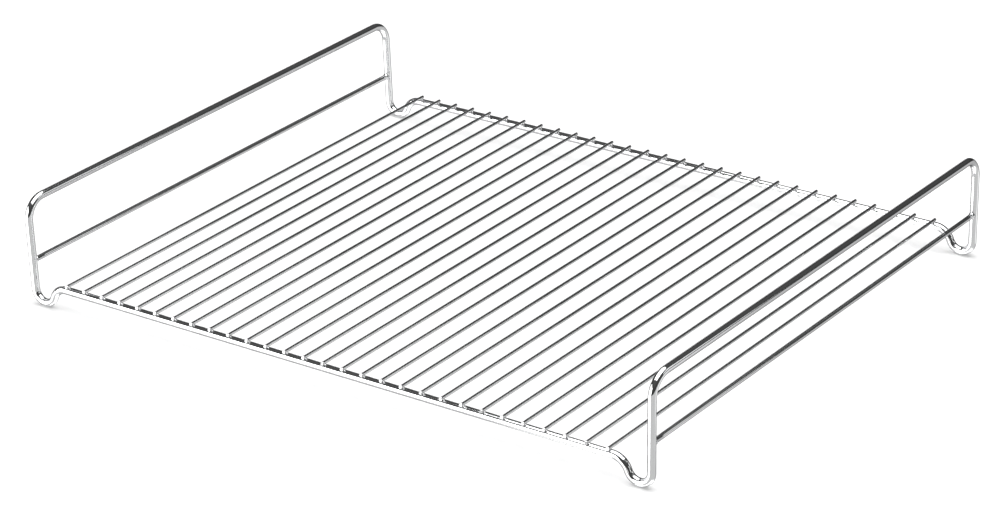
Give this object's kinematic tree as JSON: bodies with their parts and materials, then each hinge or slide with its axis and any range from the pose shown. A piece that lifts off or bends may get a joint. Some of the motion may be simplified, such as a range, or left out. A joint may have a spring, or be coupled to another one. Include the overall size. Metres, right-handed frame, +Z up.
{
  "type": "baking tray grid insert",
  "caption": "Wire grid insert for a baking tray: thin parallel wires welded across a bent thick-wire loop with low feet and raised side frames.",
  "frame": {"origin": "on the table, under the middle of the rack", "axes": "+X to the right along the crossbars, +Y to the back along the grid wires, +Z up"},
  "size_m": [0.4208, 0.337, 0.0645],
  "materials": {
    "frame_wire": "bright plated drawn steel wire, thick",
    "grid_wire": "bright plated drawn steel wire, thin",
    "side_rail": "bright plated drawn steel wire, medium"
  },
  "bodies": {
    "root": {"frame_loop": "frame_wire", "grid_wire_01": "grid_wire", "grid_wire_02": "grid_wire", "grid_wire_03": "grid_wire", "grid_wire_04": "grid_wire", "grid_wire_05": "grid_wire", "grid_wire_06": "grid_wire", "grid_wire_07": "grid_wire", "grid_wire_08": "grid_wire", "grid_wire_09": "grid_wire", "grid_wire_10": "grid_wire", "grid_wire_11": "grid_wire", "grid_wire_12": "grid_wire", "grid_wire_13": "grid_wire", "grid_wire_14": "grid_wire", "grid_wire_15": "grid_wire", "grid_wire_16": "grid_wire", "grid_wire_17": "grid_wire", "grid_wire_18": "grid_wire", "grid_wire_19": "grid_wire", "grid_wire_20": "grid_wire", "grid_wire_21": "grid_wire", "grid_wire_22": "grid_wire", "grid_wire_23": "grid_wire", "grid_wire_24": "grid_wire", "grid_wire_25": "grid_wire", "grid_wire_26": "grid_wire", "grid_wire_27": "grid_wire", "grid_wire_28": "grid_wire", "grid_wire_29": "grid_wire", "left_side_rail": "side_rail", "right_side_rail": "side_rail"}
  },
  "joints": []
}
